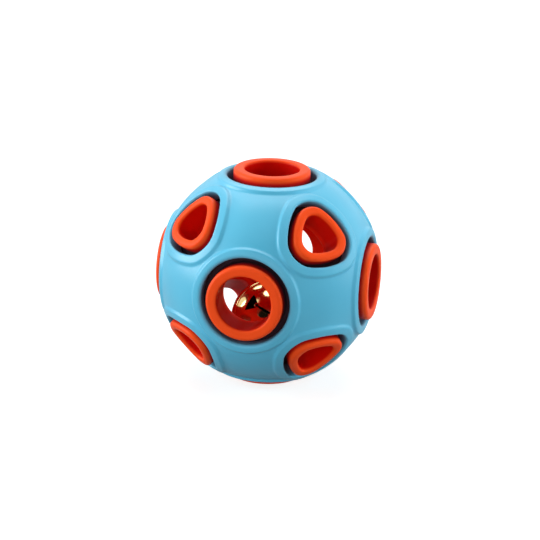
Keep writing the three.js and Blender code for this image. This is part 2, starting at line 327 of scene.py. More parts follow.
# Bell pellet: the loose ball that makes the bell ring.
# It is a cold-headed steel ball, tumbled but not ground, so the flash band of its two dies still shows.
PELLET_RADIUS = 3.0 * MM
FLASH_STEP = 0.06 * MM
FLASH_HALF_HEIGHT = 0.35 * MM
PELLET_SIDES = 48
PELLET_ROWS = 20
PELLET_CREASE = math.radians(50)
STEEL = "#b4b6b9"
STEEL_DARK = "#7c7e82"
STEEL_ROUGHNESS = (0.45, 0.25)  # in the dents, and between them
DENT = 0.7 * MM
DENT_DEPTH = 0.05 * MM
DENT_STRENGTH = 0.3


def tumbled_steel():
    """Tumbled carbon steel: grey metal with small dents, which are darker and duller than the rest."""
    material, tree = new_material("carbon_steel_tumbled")
    place = node(tree, "ShaderNodeTexCoord").outputs["Object"]
    dents = node(tree, "ShaderNodeTexVoronoi", {"Vector": place, "Scale": 1 / DENT})
    shades = {FIRST_COLOUR: linear(STEEL_DARK), SECOND_COLOUR: linear(STEEL)}
    mixed = node(tree, "ShaderNodeMix", {"Factor": dents, **shades}, data_type="RGBA")
    dull, clear = STEEL_ROUGHNESS
    rough = node(tree, "ShaderNodeMapRange", {"Value": dents, "To Min": dull, "To Max": clear})
    bump = node(tree, "ShaderNodeBump", {"Height": dents, "Strength": DENT_STRENGTH, "Distance": DENT_DEPTH})
    skin = node(tree, "ShaderNodeBsdfPrincipled",
                {"Base Color": mixed.outputs[MIXED_COLOUR], "Roughness": rough, "Normal": bump,
                 "Metallic": 1.0})
    node(tree, "ShaderNodeOutputMaterial", {"Surface": skin})
    return material


flash_angle = math.asin(FLASH_HALF_HEIGHT / PELLET_RADIUS)
ball_radius = PELLET_RADIUS - FLASH_STEP
pellet_profile = arc_about((0, 0), ball_radius, math.pi / 2, flash_angle, PELLET_ROWS)
pellet_profile += [(PELLET_RADIUS, FLASH_HALF_HEIGHT / 2), (PELLET_RADIUS, -FLASH_HALF_HEIGHT / 2)]
pellet_profile += arc_about((0, 0), ball_radius, -flash_angle, -math.pi / 2, PELLET_ROWS)
pellet_mesh = turned("bell_pellet_ball", pellet_profile, PELLET_SIDES)
pellet_low, pellet_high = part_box("bell_pellet")
pellet_mesh.transform(Matrix.Translation((pellet_low + pellet_high) / 2))
smooth_but_for(pellet_mesh, PELLET_CREASE)
pellet_mesh.materials.append(tumbled_steel())
pellet = object_of("bell_pellet_ball", pellet_mesh)
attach(pellet, "pellet")
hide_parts("bell_pellet")

# Bell slit cup: the other half of the bell, cut by crossed slits that end in fan-shaped windows.
# It is pressed from the same gilded brass sheet, and its stepped neck fits inside the top cup's bead.
SLIT_ARMS = 4
SLIT_HALF_WIDTH = 0.4 * MM
FAN_START = 9.35 * MM  # from the bell's axis
FAN_END = 11.5 * MM
FAN_HALF_WIDTH = 3.1 * MM
NECK_HEIGHT = 1.2 * MM
PETAL_SIDES = 36
PETAL_ROWS = 44
FAN_SIDES = 12
RING_ROWS = 10
PETAL_CREASE = math.radians(40)


def slit_edge(distance):
    """Angle between the middle of a slit and its edge, that far from the bell's axis."""
    widening = max(0.0, (distance - FAN_START) / (FAN_END - FAN_START))
    half_width = SLIT_HALF_WIDTH + (FAN_HALF_WIDTH - SLIT_HALF_WIDTH) * widening
    most = math.sin(math.pi / SLIT_ARMS)  # where neighbouring slits would meet
    return math.asin(min(half_width / distance, most))


def slit_cup_sheet(name):
    """Outer face of the slit cup, as one open sheet: petals up to the windows' ends, then whole rings."""
    bm = bmesh.new()
    quarter = 2 * math.pi / SLIT_ARMS
    fan_edge = slit_edge(FAN_END)
    fan_angle = math.asin(FAN_END / BELL_RADIUS)

    def corner(distance, angle, height):
        """New corner of the sheet, that far from the bell's axis."""
        return bm.verts.new((-distance * math.sin(angle), distance * math.cos(angle), height))

    rings = []
    profile = []
    for row in range(RING_ROWS + 1):
        polar = fan_angle + (math.pi / 2 - BELL_FIT / BELL_RADIUS - fan_angle) * row / RING_ROWS
        profile.append((BELL_RADIUS * math.sin(polar), -BELL_RADIUS * math.cos(polar)))
    neck = BELL_RADIUS - BELL_SHEET - BELL_FIT
    profile += [(neck + BELL_FIT, -BELL_FIT / 2), (neck, BELL_FIT), (neck, NECK_HEIGHT)]
    turn = []
    for arm in range(SLIT_ARMS):
        for side in range(FAN_SIDES):
            turn.append(arm * quarter + fan_edge * (2 * side / FAN_SIDES - 1))
        for side in range(PETAL_SIDES):
            turn.append(arm * quarter + fan_edge + (quarter - 2 * fan_edge) * side / PETAL_SIDES)
    for distance, height in profile:
        rings.append([corner(distance, angle, height) for angle in turn])
    for near, far in zip(rings, rings[1:]):
        for side in range(len(turn)):
            after = (side + 1) % len(turn)
            bm.faces.new((near[side], near[after], far[after], far[side]))
    tip = SLIT_HALF_WIDTH * math.sqrt(2)
    tip_angle = math.asin(tip / BELL_RADIUS)
    for arm in range(SLIT_ARMS):
        start = arm * (FAN_SIDES + PETAL_SIDES) + FAN_SIDES
        base = [rings[0][(start + side) % len(turn)] for side in range(PETAL_SIDES + 1)]
        for row in range(1, PETAL_ROWS):
            polar = fan_angle + (tip_angle - fan_angle) * row / PETAL_ROWS
            distance = BELL_RADIUS * math.sin(polar)
            edge = slit_edge(distance)
            above = []
            for side in range(PETAL_SIDES + 1):
                angle = arm * quarter + edge + (quarter - 2 * edge) * side / PETAL_SIDES
                above.append(corner(distance, angle, -BELL_RADIUS * math.cos(polar)))
            for side in range(PETAL_SIDES):
                bm.faces.new((above[side], above[side + 1], base[side + 1], base[side]))
            base = above
        point = corner(tip, (arm + 0.5) * quarter, -BELL_RADIUS * math.cos(tip_angle))
        for side in range(PETAL_SIDES):
            bm.faces.new((point, base[side + 1], base[side]))
    bmesh.ops.recalc_face_normals(bm, faces=bm.faces)
    mesh = bpy.data.meshes.new(name)
    bm.to_mesh(mesh)
    bm.free()
    return mesh


slit_cup = object_of("bell_slit_cup_pressed", slit_cup_sheet("bell_slit_cup_pressed"))
# The sheet is open, so all its faces may have been turned inwards
if sum(face.normal.dot(face.center) for face in slit_cup.data.polygons) < 0:
    slit_cup.data.flip_normals()
thicken = slit_cup.modifiers.new("sheet", "SOLIDIFY")
thicken.thickness = BELL_SHEET
thicken.offset = -1
# The inner faces take the second finish, the painted shade of the bell's inside
thicken.material_offset = 1
for finish in (gilt, inside_shade):
    slit_cup.data.materials.append(finish)
baked(slit_cup)
slit_cup.data.transform(bell_place)
smooth_but_for(slit_cup.data, PETAL_CREASE)
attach(slit_cup, "bell")
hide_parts("bell_slit_cup")

# Inner ball: the orange hollow ball with its fourteen open spouts, put round the bell in two halves.
# It is thermoplastic rubber, moulded as two halves that are welded at the level of the ball's middle.
BALL_RADIUS = 32.2 * MM
CAVITY_RADIUS = 27.0 * MM
ROUND_BORE = 9.3 * MM
ROUND_WALL = 3.7 * MM
CORNERED_BORE_FLAT = 5.9 * MM  # from the bore's middle to the middle of a side
CORNERED_BORE_BOW = 17.3 * MM  # radius that its sides are bowed to
CORNERED_BORE_CORNER = 3.6 * MM
CORNER_SPREAD = 0.35  # how much the corners' rounding grows for each millimetre out from the bore
CORNERED_WALL = 2.9 * MM
CORNERED_RISE = 0.9 * MM  # how much further out the three-cornered rims lie than the round ones
RIM_ROUNDING = 1.2 * MM
BORE_EDGE = 0.75 * MM  # rounding of the bores' edges, at the rims and at the inner mouths
SPOUT_ROOT = 1.0 * MM  # fillet where a spout leaves the ball
GRID_REACH = 39.0 * MM  # half the width of the grid of readings
BALL_GRID = 0.48 * MM  # spacing of the readings
PROBE = 0.02 * MM  # how far from a place the field is read to find which way its surface faces
PROBE_WAYS = ((1, -1, -1), (-1, -1, 1), (-1, 1, -1), (1, 1, 1))
PUSHES = 2  # how often the mesh is pushed onto the true surface
SEAM_TOLERANCE = 0.01 * MM
MOULD_GRAIN = 0.5 * MM
GRAIN_DEPTH = 0.1 * MM
GRAIN_STRENGTH = 0.08
RUBBER_IOR = 1.5
BLOOM_ROUGHNESS = 0.5
ORANGE = "#fb541d"
ORANGE_DEEP = "#f34b17"
ORANGE_CLOUD = 9.0 * MM
ORANGE_ROUGHNESS = (0.35, 0.5)
ORANGE_GLOSS = 0.14
ORANGE_BLOOM = 0.0
# Painted shade: the orange turns a deep red below the rims, in the bores and down the spouts' sides
ORANGE_BORE_SHADE = "#cc0a00"
ORANGE_BORE_SHADE_SPAN = (36.8 * MM, 37.8 * MM)  # how far from the ball's middle it is full, and where it ends
# The cavity wall is painted a brighter red again, inside that painted shade
ORANGE_HEART = "#ff2c0a"
ORANGE_HEART_SPAN = (27.2 * MM, 30.0 * MM)
# Painted shade of the gaps under the shell, dark brown on the ball and on the spouts' outer sides
ORANGE_GAP_SHADE = "#3f2c35"
ORANGE_GAP_SHADE_SPAN = (34.0 * MM, 36.9 * MM)

round_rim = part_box("inner_ball_upper")[1].z


def new_tree(name, inputs, outputs):
    """Node group with named inputs and outputs, each a name and a socket type. Gives its inputs too."""
    tree = bpy.data.node_groups.new(name, "GeometryNodeTree")
    for label, kind in inputs:
        tree.interface.new_socket(label, in_out="INPUT", socket_type=kind)
    for label, kind in outputs:
        tree.interface.new_socket(label, in_out="OUTPUT", socket_type=kind)
    return tree, node(tree, "NodeGroupInput").outputs


def rounded_meeting():
    """Field of what lies in both of two fields, with the edge between them rounded."""
    inputs = [(name, "NodeSocketFloat") for name in ("First", "Second", "Rounding")]
    tree, given = new_tree("rounded_meeting", inputs, [("Field", "NodeSocketFloat")])
    worst = node(tree, "ShaderNodeMath", {0: given["First"], 1: given["Second"]}, operation="MAXIMUM")
    inward = node(tree, "ShaderNodeMath", {0: given["Rounding"], 1: -1}, operation="MULTIPLY")
    inside = node(tree, "ShaderNodeMath", {0: worst, 1: inward}, operation="MINIMUM")
    first = node(tree, "ShaderNodeMath", {0: given["First"], 1: given["Rounding"]}, operation="ADD")
    second = node(tree, "ShaderNodeMath", {0: given["Second"], 1: given["Rounding"]}, operation="ADD")
    both = node(tree, "ShaderNodeCombineXYZ", {0: first, 1: second})
    both = node(tree, "ShaderNodeVectorMath", {0: both}, operation="MAXIMUM")
    outside = node(tree, "ShaderNodeVectorMath", {0: both}, operation="LENGTH").outputs["Value"]
    field = node(tree, "ShaderNodeMath", {0: inside, 1: outside}, operation="ADD")
    node(tree, "NodeGroupOutput", {"Field": field})
    return tree


ROUNDED_MEETING = rounded_meeting()
OUTLINE_SIZES = ("Round", "Flat", "Bow", "Corner")
SPOUT_KINDS = ("Round", "Cornered")


def spout_measures():
    """How far a place lies outside the nearest round and three-cornered outlines, and along their spouts.
    The spouts repeat by the symmetry of a cube, so the place is folded into one corner of it first."""
    inputs = [("Place", "NodeSocketVector")] + [(name, "NodeSocketFloat") for name in OUTLINE_SIZES]
    outputs = ("Round across", "Round along", "Cornered across", "Cornered along")
    tree, given = new_tree("spout_measures", inputs, [(name, "NodeSocketFloat") for name in outputs])
    folded = node(tree, "ShaderNodeVectorMath", {0: given["Place"]}, operation="ABSOLUTE")
    x, y, z = node(tree, "ShaderNodeSeparateXYZ", {0: folded}).outputs
    high = node(tree, "ShaderNodeMath", {0: x, 1: y}, operation="MAXIMUM")
    high = node(tree, "ShaderNodeMath", {0: high, 1: z}, operation="MAXIMUM")
    low = node(tree, "ShaderNodeMath", {0: x, 1: y}, operation="MINIMUM")
    low = node(tree, "ShaderNodeMath", {0: low, 1: z}, operation="MINIMUM")
    total = node(tree, "ShaderNodeVectorMath", {0: folded, 1: (1, 1, 1)}, operation="DOT_PRODUCT")
    total = total.outputs["Value"]
    middle = node(tree, "ShaderNodeMath", {0: total, 1: high}, operation="SUBTRACT")
    middle = node(tree, "ShaderNodeMath", {0: middle, 1: low}, operation="SUBTRACT")
    aside = node(tree, "ShaderNodeCombineXYZ", {0: middle, 1: low})
    off_axis = node(tree, "ShaderNodeVectorMath", {0: aside}, operation="LENGTH").outputs["Value"]
    round_across = node(tree, "ShaderNodeMath", {0: off_axis, 1: given["Round"]}, operation="SUBTRACT")
    # Across a three-cornered outline: u to the side, v towards the nearest corner
    cornered_along = node(tree, "ShaderNodeMath", {0: total, 1: math.sqrt(1 / 3)}, operation="MULTIPLY")
    u = node(tree, "ShaderNodeMath", {0: middle, 1: low}, operation="SUBTRACT")
    u = node(tree, "ShaderNodeMath", {0: u, 1: math.sqrt(1 / 2)}, operation="MULTIPLY")
    v = node(tree, "ShaderNodeMath", {0: total, 1: -1 / 3, 2: high}, operation="MULTIPLY_ADD")
    v = node(tree, "ShaderNodeMath", {0: v, 1: math.sqrt(3 / 2)}, operation="MULTIPLY")
    across = node(tree, "ShaderNodeCombineXYZ", {0: u, 1: v})
    lean = node(tree, "ShaderNodeMath", {0: given["Bow"], 1: given["Flat"]}, operation="SUBTRACT")
    sides = []
    for way in ((math.sqrt(3 / 4), 0.5, 0), (-math.sqrt(3 / 4), 0.5, 0)):
        offset = node(tree, "ShaderNodeVectorMath", {0: way, "Scale": lean}, operation="SCALE")
        spoke = node(tree, "ShaderNodeVectorMath", {0: across, 1: offset}, operation="ADD")
        spoke = node(tree, "ShaderNodeVectorMath", {0: spoke}, operation="LENGTH").outputs["Value"]
        sides.append(node(tree, "ShaderNodeMath", {0: spoke, 1: given["Bow"]}, operation="SUBTRACT"))
    cornered_across = node(tree, "GeometryNodeGroup",
                           {"First": sides[0], "Second": sides[1], "Rounding": given["Corner"]},
                           node_tree=ROUNDED_MEETING)
    node(tree, "NodeGroupOutput", {0: round_across, 1: high, 2: cornered_across, 3: cornered_along})
    return tree


SPOUT_MEASURES = spout_measures()


def outline_sizes(label, round_distance, cornered_distance):
    """Sizes of the outlines at those distances round the two kinds of bore, as named inputs of a tree."""
    corner = CORNERED_BORE_CORNER + CORNER_SPREAD * cornered_distance
    sizes = (ROUND_BORE + round_distance, CORNERED_BORE_FLAT + cornered_distance,
             CORNERED_BORE_BOW + cornered_distance, corner)
    return {f"{label} {name.lower()}": size for name, size in zip(OUTLINE_SIZES, sizes)}


def new_field(name, sizes):
    """Node group for a moulded ball's field, with its inputs and each place's distance from the middle."""
    inputs = [("Place", "NodeSocketVector")] + [(label, "NodeSocketFloat") for label in sizes]
    outputs = [(label, "NodeSocketFloat") for label in ("Field", "Gap side")]
    tree, given = new_tree(name, inputs, outputs)
    radius = node(tree, "ShaderNodeVectorMath", {0: given["Place"]}, operation="LENGTH").outputs["Value"]
    return tree, given, radius


def measured(tree, given, label):
    """Where a place lies against the outlines of that label, and how far it lies outside the nearer one."""
    sizes = {name: given[f"{label} {name.lower()}"] for name in OUTLINE_SIZES}
    measures = node(tree, "GeometryNodeGroup", {"Place": given["Place"], **sizes}, node_tree=SPOUT_MEASURES)
    where = measures.outputs
    nearest = node(tree, "ShaderNodeMath", {0: where["Round across"], 1: where["Cornered across"]},
                   operation="MINIMUM")
    return where, nearest


BALL_SIZES = {
    **outline_sizes("Bore", 0, 0),
    **outline_sizes("Spout", ROUND_WALL, CORNERED_WALL),
    "Ball radius": BALL_RADIUS,
    "Cavity radius": CAVITY_RADIUS,
    "Round rim": round_rim,
    "Cornered rim": round_rim + CORNERED_RISE,
    "Rim rounding": RIM_ROUNDING,
    "Bore edge": BORE_EDGE,
    "Spout root": SPOUT_ROOT,
}


def ball_field():
    """Field of the inner ball: below zero in the rubber, zero on its surface."""
    tree, given, radius = new_field("ball_field", BALL_SIZES)
    outside = node(tree, "ShaderNodeMath", {0: radius, 1: given["Ball radius"]}, operation="SUBTRACT")
    spout, past_spout = measured(tree, given, "Spout")
    for kind in SPOUT_KINDS:
        along = node(tree, "ShaderNodeMath", {0: spout[kind + " along"], 1: given[kind + " rim"]},
                     operation="SUBTRACT")
        plug = node(tree, "GeometryNodeGroup",
                    {"First": spout[kind + " across"], "Second": along, "Rounding": given["Rim rounding"]},
                    node_tree=ROUNDED_MEETING)
        outside = node(tree, "ShaderNodeMath", {0: outside, 1: plug, 2: given["Spout root"]},
                       operation="SMOOTH_MIN")
    cavity = node(tree, "ShaderNodeMath", {0: given["Cavity radius"], 1: radius}, operation="SUBTRACT")
    wall = node(tree, "ShaderNodeMath", {0: outside, 1: cavity}, operation="MAXIMUM")
    _, past_bore = measured(tree, given, "Bore")
    bores = node(tree, "ShaderNodeMath", {0: past_bore, 1: -1}, operation="MULTIPLY")
    opened = node(tree, "GeometryNodeGroup",
                  {"First": wall, "Second": bores, "Rounding": given["Bore edge"]},
                  node_tree=ROUNDED_MEETING)
    # The outer sides of the spouts and of the ball face the gaps, and the bores and the cavity don't.
    # The painted shade of the gaps goes on those sides
    spout_side = node(tree, "ShaderNodeMath", {0: past_spout, 1: past_bore}, operation="ADD")
    ball_side = node(tree, "ShaderNodeMath", {0: outside, 1: cavity}, operation="SUBTRACT")
    gap_side = node(tree, "ShaderNodeMath", {0: spout_side, 1: ball_side}, operation="MINIMUM")
    gap_side = node(tree, "ShaderNodeMath", {0: gap_side, 1: 0.0}, operation="GREATER_THAN")
    node(tree, "NodeGroupOutput", {"Field": opened, "Gap side": gap_side})
    return tree


def moulded(name, field, sizes, grid_step, material):
    """Mesh of a field's surface, made by a tree whose inputs are the sizes. The surface of a grid of
    readings is pushed onto the field's true surface, along the way that the field rises."""
    inputs = [("Geometry", "NodeSocketGeometry")]
    inputs += [(label, "NodeSocketFloat") for label in sizes]
    inputs += [("Grid reach", "NodeSocketFloat"), ("Grid readings", "NodeSocketInt")]
    inputs += [("Probe", "NodeSocketFloat")]
    tree, given = new_tree(name, inputs, [("Geometry", "NodeSocketGeometry")])

    def reading(place):
        """The field's node at a place, with the sizes linked to it."""
        read = node(tree, "GeometryNodeGroup", {"Place": place}, node_tree=field)
        for label in sizes:
            tree.links.new(given[label], read.inputs[label])
        return read

    place = node(tree, "GeometryNodeInputPosition")
    reach = node(tree, "ShaderNodeCombineXYZ", {axis: given["Grid reach"] for axis in range(3)})
    back = node(tree, "ShaderNodeVectorMath", {0: reach, 1: (-1, -1, -1)}, operation="MULTIPLY")
    density = node(tree, "ShaderNodeMath", {0: reading(place), 1: -1}, operation="MULTIPLY")
    grid = node(tree, "GeometryNodeVolumeCube",
                {"Density": density, "Background": -1.0, "Min": back, "Max": reach})
    for axis in "XYZ":
        tree.links.new(given["Grid readings"], grid.inputs["Resolution " + axis])
    skin = node(tree, "GeometryNodeVolumeToMesh", {"Volume": grid, "Threshold": 0.0})
    for _ in range(PUSHES):
        rise = (0, 0, 0)
        level = 0.0
        for way in PROBE_WAYS:
            offset = node(tree, "ShaderNodeVectorMath", {0: way, "Scale": given["Probe"]},
                          operation="SCALE")
            read = reading(node(tree, "ShaderNodeVectorMath", {0: place, 1: offset}, operation="ADD"))
            pull = node(tree, "ShaderNodeVectorMath", {0: way, "Scale": read}, operation="SCALE")
            rise = node(tree, "ShaderNodeVectorMath", {0: rise, 1: pull}, operation="ADD")
            level = node(tree, "ShaderNodeMath", {0: level, 1: read}, operation="ADD")
        # The four readings add up to four times the level, and their pulls to four probes times the rise
        steep = node(tree, "ShaderNodeVectorMath", {0: rise, 1: rise}, operation="DOT_PRODUCT")
        length = node(tree, "ShaderNodeMath", {0: level, 1: steep.outputs["Value"]}, operation="DIVIDE")
        length = node(tree, "ShaderNodeMath", {0: length, 1: given["Probe"]}, operation="MULTIPLY")
        length = node(tree, "ShaderNodeMath", {0: length, 1: -1}, operation="MULTIPLY")
        move = node(tree, "ShaderNodeVectorMath", {0: rise, "Scale": length}, operation="SCALE")
        skin = node(tree, "GeometryNodeSetPosition", {"Geometry": skin, "Offset": move})
    # Where the painted shade of the gaps goes, kept on the mesh for its material
    gap_side = reading(place).outputs["Gap side"]
    skin = node(tree, "GeometryNodeStoreNamedAttribute",
                {"Geometry": skin, "Name": "gap_side", "Value": gap_side},
                domain="POINT", data_type="FLOAT")
    smooth = node(tree, "GeometryNodeSetShadeSmooth", {"Geometry": skin})
    whole = node(tree, "GeometryNodeRealizeInstances", {"Geometry": smooth})
    painted = node(tree, "GeometryNodeSetMaterial", {"Geometry": whole, "Material": material})
    node(tree, "NodeGroupOutput", {0: painted})

    maker = object_of(name, bpy.data.meshes.new(name))
    modifier = maker.modifiers.new(name, "NODES")
    modifier.node_group = tree
    readings = 2 * round(GRID_REACH / grid_step)
    values = {**sizes, "Grid reach": GRID_REACH, "Grid readings": readings, "Probe": PROBE}
    for socket in tree.interface.items_tree:
        if socket.name in values:
            modifier[socket.identifier] = values[socket.name]
    mesh = bpy.data.meshes.new_from_object(maker.evaluated_get(bpy.context.evaluated_depsgraph_get()))
    bpy.data.objects.remove(maker)
    return mesh


def moulded_half(name, whole, side, material):
    """Upper (side 1) or lower (side -1) half of a moulded ball, closed by a flat face at the seam."""
    bm = bmesh.new()
    bm.from_mesh(whole)
    everything = bm.verts[:] + bm.edges[:] + bm.faces[:]
    bmesh.ops.bisect_plane(bm, geom=everything, dist=SEAM_TOLERANCE, plane_co=(0, 0, 0),
                           plane_no=(0, 0, side), clear_inner=True)
    rim = [edge for edge in bm.edges if edge.is_boundary]
    filled = bmesh.ops.triangle_fill(bm, edges=rim, use_beauty=True, normal=(0, 0, -side))
    for edge in rim:
        edge.smooth = False
    for face in filled["geom"]:
        if isinstance(face, bmesh.types.BMFace):
            if face.normal.z * side > 0:
                face.normal_flip()
            face.smooth = False
    mesh = bpy.data.meshes.new(name)
    bm.to_mesh(mesh)
    bm.free()
    mesh.materials.clear()  # this sets every face to the first material
    mesh.materials.append(material)
    return object_of(name, mesh)


def dyed_rubber(name, dyes, cloud, depths, gap_shade, roughness, gloss, bloom):
    """Moulded thermoplastic rubber: satin and faintly cloudy, with the fine grain of the mould and a bloom.
    dyes are its two cloud colours, depths are colours painted further in for the shade there, and gap_shade
    is the painted shade of the gaps."""
    material, tree = new_material(name)
    place = node(tree, "ShaderNodeTexCoord").outputs["Object"]
    clouds = node(tree, "ShaderNodeTexNoise", {"Vector": place, "Scale": 1 / cloud, "Detail": 3.0})
    shades = {FIRST_COLOUR: linear(dyes[0]), SECOND_COLOUR: linear(dyes[1])}
    mixed = node(tree, "ShaderNodeMix", {"Factor": clouds, **shades}, data_type="RGBA")
    radius = node(tree, "ShaderNodeVectorMath", {0: place}, operation="LENGTH").outputs["Value"]
    gap_side = node(tree, "ShaderNodeAttribute", attribute_name="gap_side").outputs["Fac"]
    layers = [(*depth, 1.0) for depth in depths] + [(*gap_shade, gap_side)]
    # Each layer paints a colour by distance from the middle for the shade deeper in, the last only where the
    # gaps are
    for painted_colour, (near, far), most in layers:
        share = node(tree, "ShaderNodeMapRange",
                     {"Value": radius, "From Min": near, "From Max": far, "To Min": most, "To Max": 0.0})
        shades = {FIRST_COLOUR: mixed.outputs[MIXED_COLOUR], SECOND_COLOUR: linear(painted_colour)}
        mixed = node(tree, "ShaderNodeMix", {"Factor": share, **shades}, data_type="RGBA")
    grain = node(tree, "ShaderNodeTexNoise", {"Vector": place, "Scale": 1 / MOULD_GRAIN, "Detail": 2.0})
    clear, dull = roughness
    satin = node(tree, "ShaderNodeMapRange", {"Value": grain, "To Min": clear, "To Max": dull})
    bump = node(tree, "ShaderNodeBump",
                {"Height": grain, "Strength": GRAIN_STRENGTH, "Distance": GRAIN_DEPTH})
    skin = node(tree, "ShaderNodeBsdfPrincipled",
                {"Base Color": mixed.outputs[MIXED_COLOUR], "Roughness": satin, "Normal": bump,
                 "IOR": RUBBER_IOR, "Specular IOR Level": gloss, "Sheen Weight": bloom,
                 "Sheen Roughness": BLOOM_ROUGHNESS})
    node(tree, "ShaderNodeOutputMaterial", {"Surface": skin})
    return material


orange = dyed_rubber("thermoplastic_rubber_orange", (ORANGE, ORANGE_DEEP), ORANGE_CLOUD,
                     [(ORANGE_BORE_SHADE, ORANGE_BORE_SHADE_SPAN), (ORANGE_HEART, ORANGE_HEART_SPAN)],
                     (ORANGE_GAP_SHADE, ORANGE_GAP_SHADE_SPAN), ORANGE_ROUGHNESS, ORANGE_GLOSS, ORANGE_BLOOM)
ball_mesh = moulded("inner_ball", ball_field(), BALL_SIZES, BALL_GRID, orange)
for side, level in ((1, "upper"), (-1, "lower")):
    ball_half = moulded_half("inner_ball_half_" + level, ball_mesh, side, orange)
    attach(ball_half, "inner_ball")
    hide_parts("inner_ball_" + level)

# Outer shell: the blue ball with a raised collar round each hole, put over the spouts in two halves.
# It is thermoplastic rubber too, moulded in halves and welded at the same level, and it can turn a little.
SHELL_RADIUS = 37.5 * MM
SHELL_INSIDE = 32.5 * MM
ROUND_GAP = 2.0 * MM
CORNERED_GAP = 1.85 * MM
COLLAR_WIDTH = 2.9 * MM
COLLAR_HEIGHT = 0.75 * MM
COLLAR_SLOPE = 0.7 * MM  # width of the step down from the collar to the shell
COLLAR_DISH = 0.35 * MM  # how much lower the round collars lie at their holes than at their outer edges
ROUND_HOLE_EDGE = 1.4 * MM  # rounding of the round holes' edges
CORNERED_HOLE_EDGE = 0.9 * MM
GAP_SHADE_REACH = 2.2 * MM  # how far from the holes the painted shade of the gaps reaches
SHELL_GRID = 0.41 * MM
BLUE = "#5cc0e1"
BLUE_DEEP = "#52b5d8"
BLUE_CLOUD = 11.0 * MM
BLUE_ROUGHNESS = (0.26, 0.38)
BLUE_GLOSS = 0.5
BLUE_BLOOM = 0.03
# Painted shade: the blue darkens down the sides of the holes and on the shell's inner face
BLUE_HOLE_SHADE = "#3a7f9c"
BLUE_HOLE_SHADE_SPAN = (33.0 * MM, 37.0 * MM)
# Painted shade of the gaps, greyish purple for the orange light thrown into them, on the holes' sides and
# collar edges
BLUE_GAP_SHADE = "#68627f"
BLUE_GAP_SHADE_SPAN = (34.6 * MM, 38.3 * MM)

round_hole = ROUND_WALL + ROUND_GAP
cornered_hole = CORNERED_WALL + CORNERED_GAP
SHELL_SIZES = {
    **outline_sizes("Hole", round_hole, cornered_hole),
    **outline_sizes("Collar", round_hole + COLLAR_WIDTH, cornered_hole + COLLAR_WIDTH),
    "Shell radius": SHELL_RADIUS,
    "Shell inside": SHELL_INSIDE,
    "Collar height": COLLAR_HEIGHT,
    "Collar slope": COLLAR_SLOPE,
    "Collar width": COLLAR_WIDTH,
    "Collar dish": COLLAR_DISH,
    "Round hole edge": ROUND_HOLE_EDGE,
    "Cornered hole edge": CORNERED_HOLE_EDGE,
    "Gap shade reach": GAP_SHADE_REACH,
}


def shell_field():
    """Field of the outer shell: below zero in the rubber, zero on its surface."""
    tree, given, radius = new_field("shell_field", SHELL_SIZES)
    collar, past_collar = measured(tree, given, "Collar")
    raised = node(tree, "ShaderNodeMapRange",
                  {"Value": past_collar, "From Min": 0.0, "From Max": given["Collar slope"],
                   "To Min": given["Collar height"], "To Max": 0.0}, interpolation_type="SMOOTHSTEP")
    inward = node(tree, "ShaderNodeMath", {0: collar["Round across"], 1: -1}, operation="MULTIPLY")
    dished = node(tree, "ShaderNodeMapRange",
                  {"Value": inward, "From Min": 0.0, "From Max": given["Collar width"],
                   "To Min": 0.0, "To Max": given["Collar dish"]})
    raised = node(tree, "ShaderNodeMath", {0: raised, 1: dished}, operation="SUBTRACT")
    outside = node(tree, "ShaderNodeMath", {0: radius, 1: given["Shell radius"]}, operation="SUBTRACT")
    outside = node(tree, "ShaderNodeMath", {0: outside, 1: raised}, operation="SUBTRACT")
    inside = node(tree, "ShaderNodeMath", {0: given["Shell inside"], 1: radius}, operation="SUBTRACT")
    wall = node(tree, "ShaderNodeMath", {0: outside, 1: inside}, operation="MAXIMUM")
    hole, past_hole = measured(tree, given, "Hole")
    for kind in SPOUT_KINDS:
        cut = node(tree, "ShaderNodeMath", {0: hole[kind + " across"], 1: -1}, operation="MULTIPLY")
        wall = node(tree, "GeometryNodeGroup",
                    {"First": wall, "Second": cut, "Rounding": given[kind + " hole edge"]},
                    node_tree=ROUNDED_MEETING)
    # The painted shade of the gaps goes where the sides of the holes face the gaps,
    # and on the collars less so the further they lie from a hole
    gap_side = node(tree, "ShaderNodeMapRange",
                    {"Value": past_hole, "From Min": 0.0, "From Max": given["Gap shade reach"],
                     "To Min": 1.0, "To Max": 0.0})
    node(tree, "NodeGroupOutput", {"Field": wall, "Gap side": gap_side})
    return tree


blue = dyed_rubber("thermoplastic_rubber_blue", (BLUE, BLUE_DEEP), BLUE_CLOUD,
                   [(BLUE_HOLE_SHADE, BLUE_HOLE_SHADE_SPAN)], (BLUE_GAP_SHADE, BLUE_GAP_SHADE_SPAN),
                   BLUE_ROUGHNESS, BLUE_GLOSS, BLUE_BLOOM)
shell_mesh = moulded("outer_shell", shell_field(), SHELL_SIZES, SHELL_GRID, blue)
for side, level in ((1, "upper"), (-1, "lower")):
    shell_half = moulded_half("outer_shell_half_" + level, shell_mesh, side, blue)
    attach(shell_half, "outer_shell")
    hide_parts("outer_shell_" + level)

# Floor: the plain white table that the ball stands on, under the rim of its lowest spout.
# The camera and mirrors see it as pale, and the ball's soft shadow still falls on it.
FLOOR_REACH = 6.0  # metres from its middle to its edges
FLOOR_BOUNCE = "#808080"  # what the floor throws back on the ball
FLOOR_PALE = "#a8a8a8"
FLOOR_GLOW = 0.8
FLOOR_GLOW_IN_MIRRORS = 0.1
SEEING_RAYS = ("Is Camera Ray", "Is Glossy Ray", "Is Transmission Ray")


